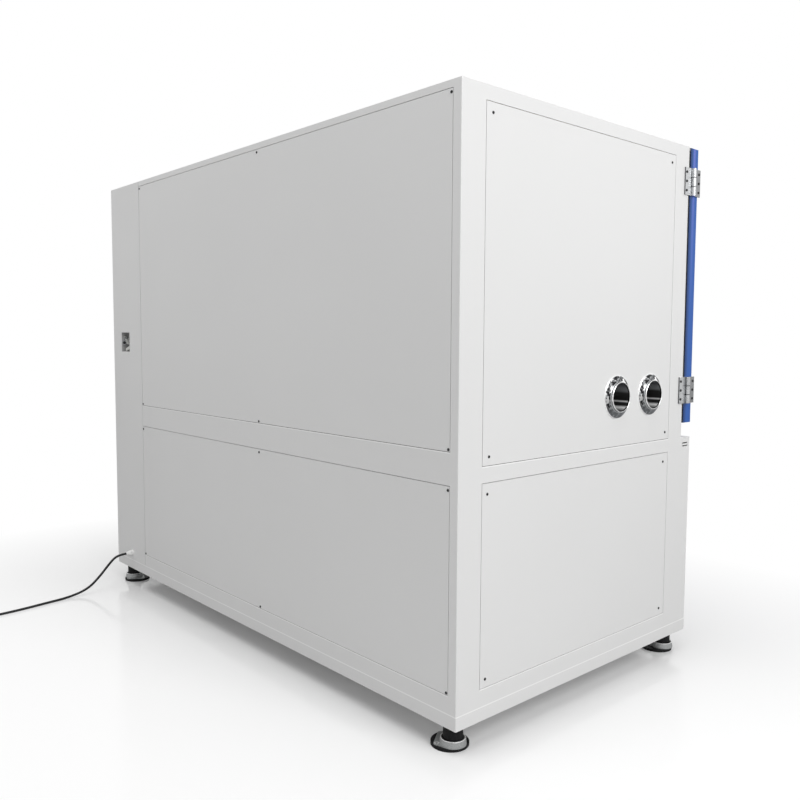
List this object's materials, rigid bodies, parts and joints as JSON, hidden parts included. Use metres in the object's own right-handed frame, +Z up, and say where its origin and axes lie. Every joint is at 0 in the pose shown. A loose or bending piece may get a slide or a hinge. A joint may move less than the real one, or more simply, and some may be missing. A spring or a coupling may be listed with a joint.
{
  "type": "environmental test chamber",
  "caption": "Floor-standing reach-in climate test chamber with insulated double doors, cable ports in one side, a louvred machine bay, a control column and levelling feet.",
  "frame": {"origin": "on the floor, under the middle of the chamber's bounding box without its mains lead", "axes": "+Z up, +X along the chamber's width towards the control column, +Y towards its rear, so that the doors face -Y"},
  "size_m": [2.207, 2.01, 1.776],
  "materials": {
    "white_coat": "satin",
    "blue_coat": "satin",
    "frame_steel": "matte",
    "stainless": "satin",
    "bright_chrome": "polished",
    "wool": "matte",
    "black_rubber": "matte",
    "window_glass": "polished",
    "black_plastic": "matte",
    "grey_plastic": "matte",
    "screen_plastic": "gloss",
    "red_plastic": "gloss",
    "green_plastic": "gloss",
    "fin_aluminium": "satin",
    "black_steel": "satin",
    "zinc_steel": "satin",
    "tank_plastic": "matte",
    "cord_sheath": "matte"
  },
  "bodies": {
    "chamber": {"base_frame": "white_coat", "body_frame": "white_coat", "top_cover": "white_coat", "rear_upper_panel": "white_coat", "rear_lower_panel": "white_coat", "left_upper_panel": "white_coat", "left_lower_panel": "white_coat", "right_upper_panel": "white_coat", "right_lower_panel": "white_coat", "column_rear_panel": "white_coat", "lower_front_panel": "white_coat", "insulation": "wool", "inner_liner": "stainless", "door_frame": "stainless", "port_tube_rear": "bright_chrome", "port_tube_front": "bright_chrome", "duct_wall": "stainless", "shelves": "stainless", "shelf_supports": "stainless", "heater": "zinc_steel", "evaporator": "fin_aluminium", "fan_motors": "frame_steel", "compressors": "black_steel", "condenser": "fin_aluminium", "water_tank": "tank_plastic", "control_gear": "grey_plastic", "socket_outlet": "grey_plastic", "lock_nuts": "zinc_steel", "hinge_body_leaves": "bright_chrome", "cable_gland": "grey_plastic", "power_cord": "cord_sheath", "cord_coil": "cord_sheath", "power_plug": "grey_plastic"},
    "left_door": {"left_door": "blue_coat", "left_door_liner": "stainless", "left_gasket": "black_rubber", "left_window_frame": "stainless", "left_window_glass": "window_glass", "left_door_hardware": "bright_chrome"},
    "left_handle": {"left_handle": "bright_chrome"},
    "circulation_fan_left": {"circulation_fan_left": "fin_aluminium"},
    "right_door": {"right_door": "blue_coat", "right_door_liner": "stainless", "right_gasket": "black_rubber", "right_window_frame": "stainless", "right_window_glass": "window_glass", "right_door_hardware": "bright_chrome"},
    "right_handle": {"right_handle": "bright_chrome"},
    "circulation_fan_right": {"circulation_fan_right": "fin_aluminium"},
    "condenser_fan": {"condenser_fan": "black_steel"},
    "column_door": {"column_door": "white_coat", "touch_screen": "screen_plastic"},
    "emergency_stop": {"emergency_stop": "red_plastic"},
    "power_button": {"power_button": "green_plastic"},
    "main_switch": {"main_switch": "black_plastic"},
    "service_door": {"service_door": "white_coat"},
    "foot_rear_left": {"foot_rear_left": "black_rubber"},
    "foot_rear_right": {"foot_rear_right": "black_rubber"},
    "foot_front_left": {"foot_front_left": "black_rubber"},
    "foot_front_right": {"foot_front_right": "black_rubber"}
  },
  "joints": [
    {"name": "left_door_swing", "type": "hinge", "parent": "chamber", "child": "left_door", "pos_m": [-1.0935, -0.529, 1.301], "axis": [0, 0, -1], "range_deg": [0, 110]},
    {"name": "right_door_swing", "type": "hinge", "parent": "chamber", "child": "right_door", "pos_m": [0.812, -0.576, 1.301], "axis": [0, 0, 1], "range_deg": [0, 110]},
    {"name": "left_handle_turn", "type": "hinge", "parent": "left_door", "child": "left_handle", "pos_m": [-0.199, -0.588, 1.366], "axis": [0, 1, 0], "range_deg": [0, 90]},
    {"name": "right_handle_turn", "type": "hinge", "parent": "right_door", "child": "right_handle", "pos_m": [-0.073, -0.588, 1.366], "axis": [0, -1, 0], "range_deg": [0, 90]},
    {"name": "circulation_fan_left_spin", "type": "hinge", "parent": "chamber", "child": "circulation_fan_left", "pos_m": [-0.5605, 0.362, 1.33], "axis": [0, 1, 0], "continuous": true},
    {"name": "circulation_fan_right_spin", "type": "hinge", "parent": "chamber", "child": "circulation_fan_right", "pos_m": [0.2895, 0.362, 1.33], "axis": [0, 1, 0], "continuous": true},
    {"name": "condenser_fan_spin", "type": "hinge", "parent": "chamber", "child": "condenser_fan", "pos_m": [-0.5455, -0.403, 0.367], "axis": [0, 1, 0], "continuous": true},
    {"name": "column_door_swing", "type": "hinge", "parent": "chamber", "child": "column_door", "pos_m": [1.0905, -0.556, 0.926], "axis": [0, 0, 1], "range_deg": [0, 110]},
    {"name": "emergency_stop_press", "type": "slide", "parent": "column_door", "child": "emergency_stop", "axis": [0, 1, 0], "range_m": [0, 0.005]},
    {"name": "power_button_press", "type": "slide", "parent": "column_door", "child": "power_button", "axis": [0, 1, 0], "range_m": [0, 0.003], "stiffness_N_per_m": 600, "springref_m": -0.001},
    {"name": "main_switch_turn", "type": "hinge", "parent": "column_door", "child": "main_switch", "pos_m": [0.9875, -0.572, 1.056], "axis": [0, 1, 0], "range_deg": [0, 90]},
    {"name": "service_door_swing", "type": "hinge", "parent": "chamber", "child": "service_door", "pos_m": [0.2655, -0.561, 0.45], "axis": [0, 0, -1], "range_deg": [0, 110]},
    {"name": "foot_rear_left_adjust", "type": "slide", "parent": "chamber", "child": "foot_rear_left", "axis": [0, 0, -1], "range_m": [0, 0.02]},
    {"name": "foot_rear_right_adjust", "type": "slide", "parent": "chamber", "child": "foot_rear_right", "axis": [0, 0, -1], "range_m": [0, 0.02]},
    {"name": "foot_front_left_adjust", "type": "slide", "parent": "chamber", "child": "foot_front_left", "axis": [0, 0, -1], "range_m": [0, 0.02]},
    {"name": "foot_front_right_adjust", "type": "slide", "parent": "chamber", "child": "foot_front_right", "axis": [0, 0, -1], "range_m": [0, 0.02]}
  ]
}
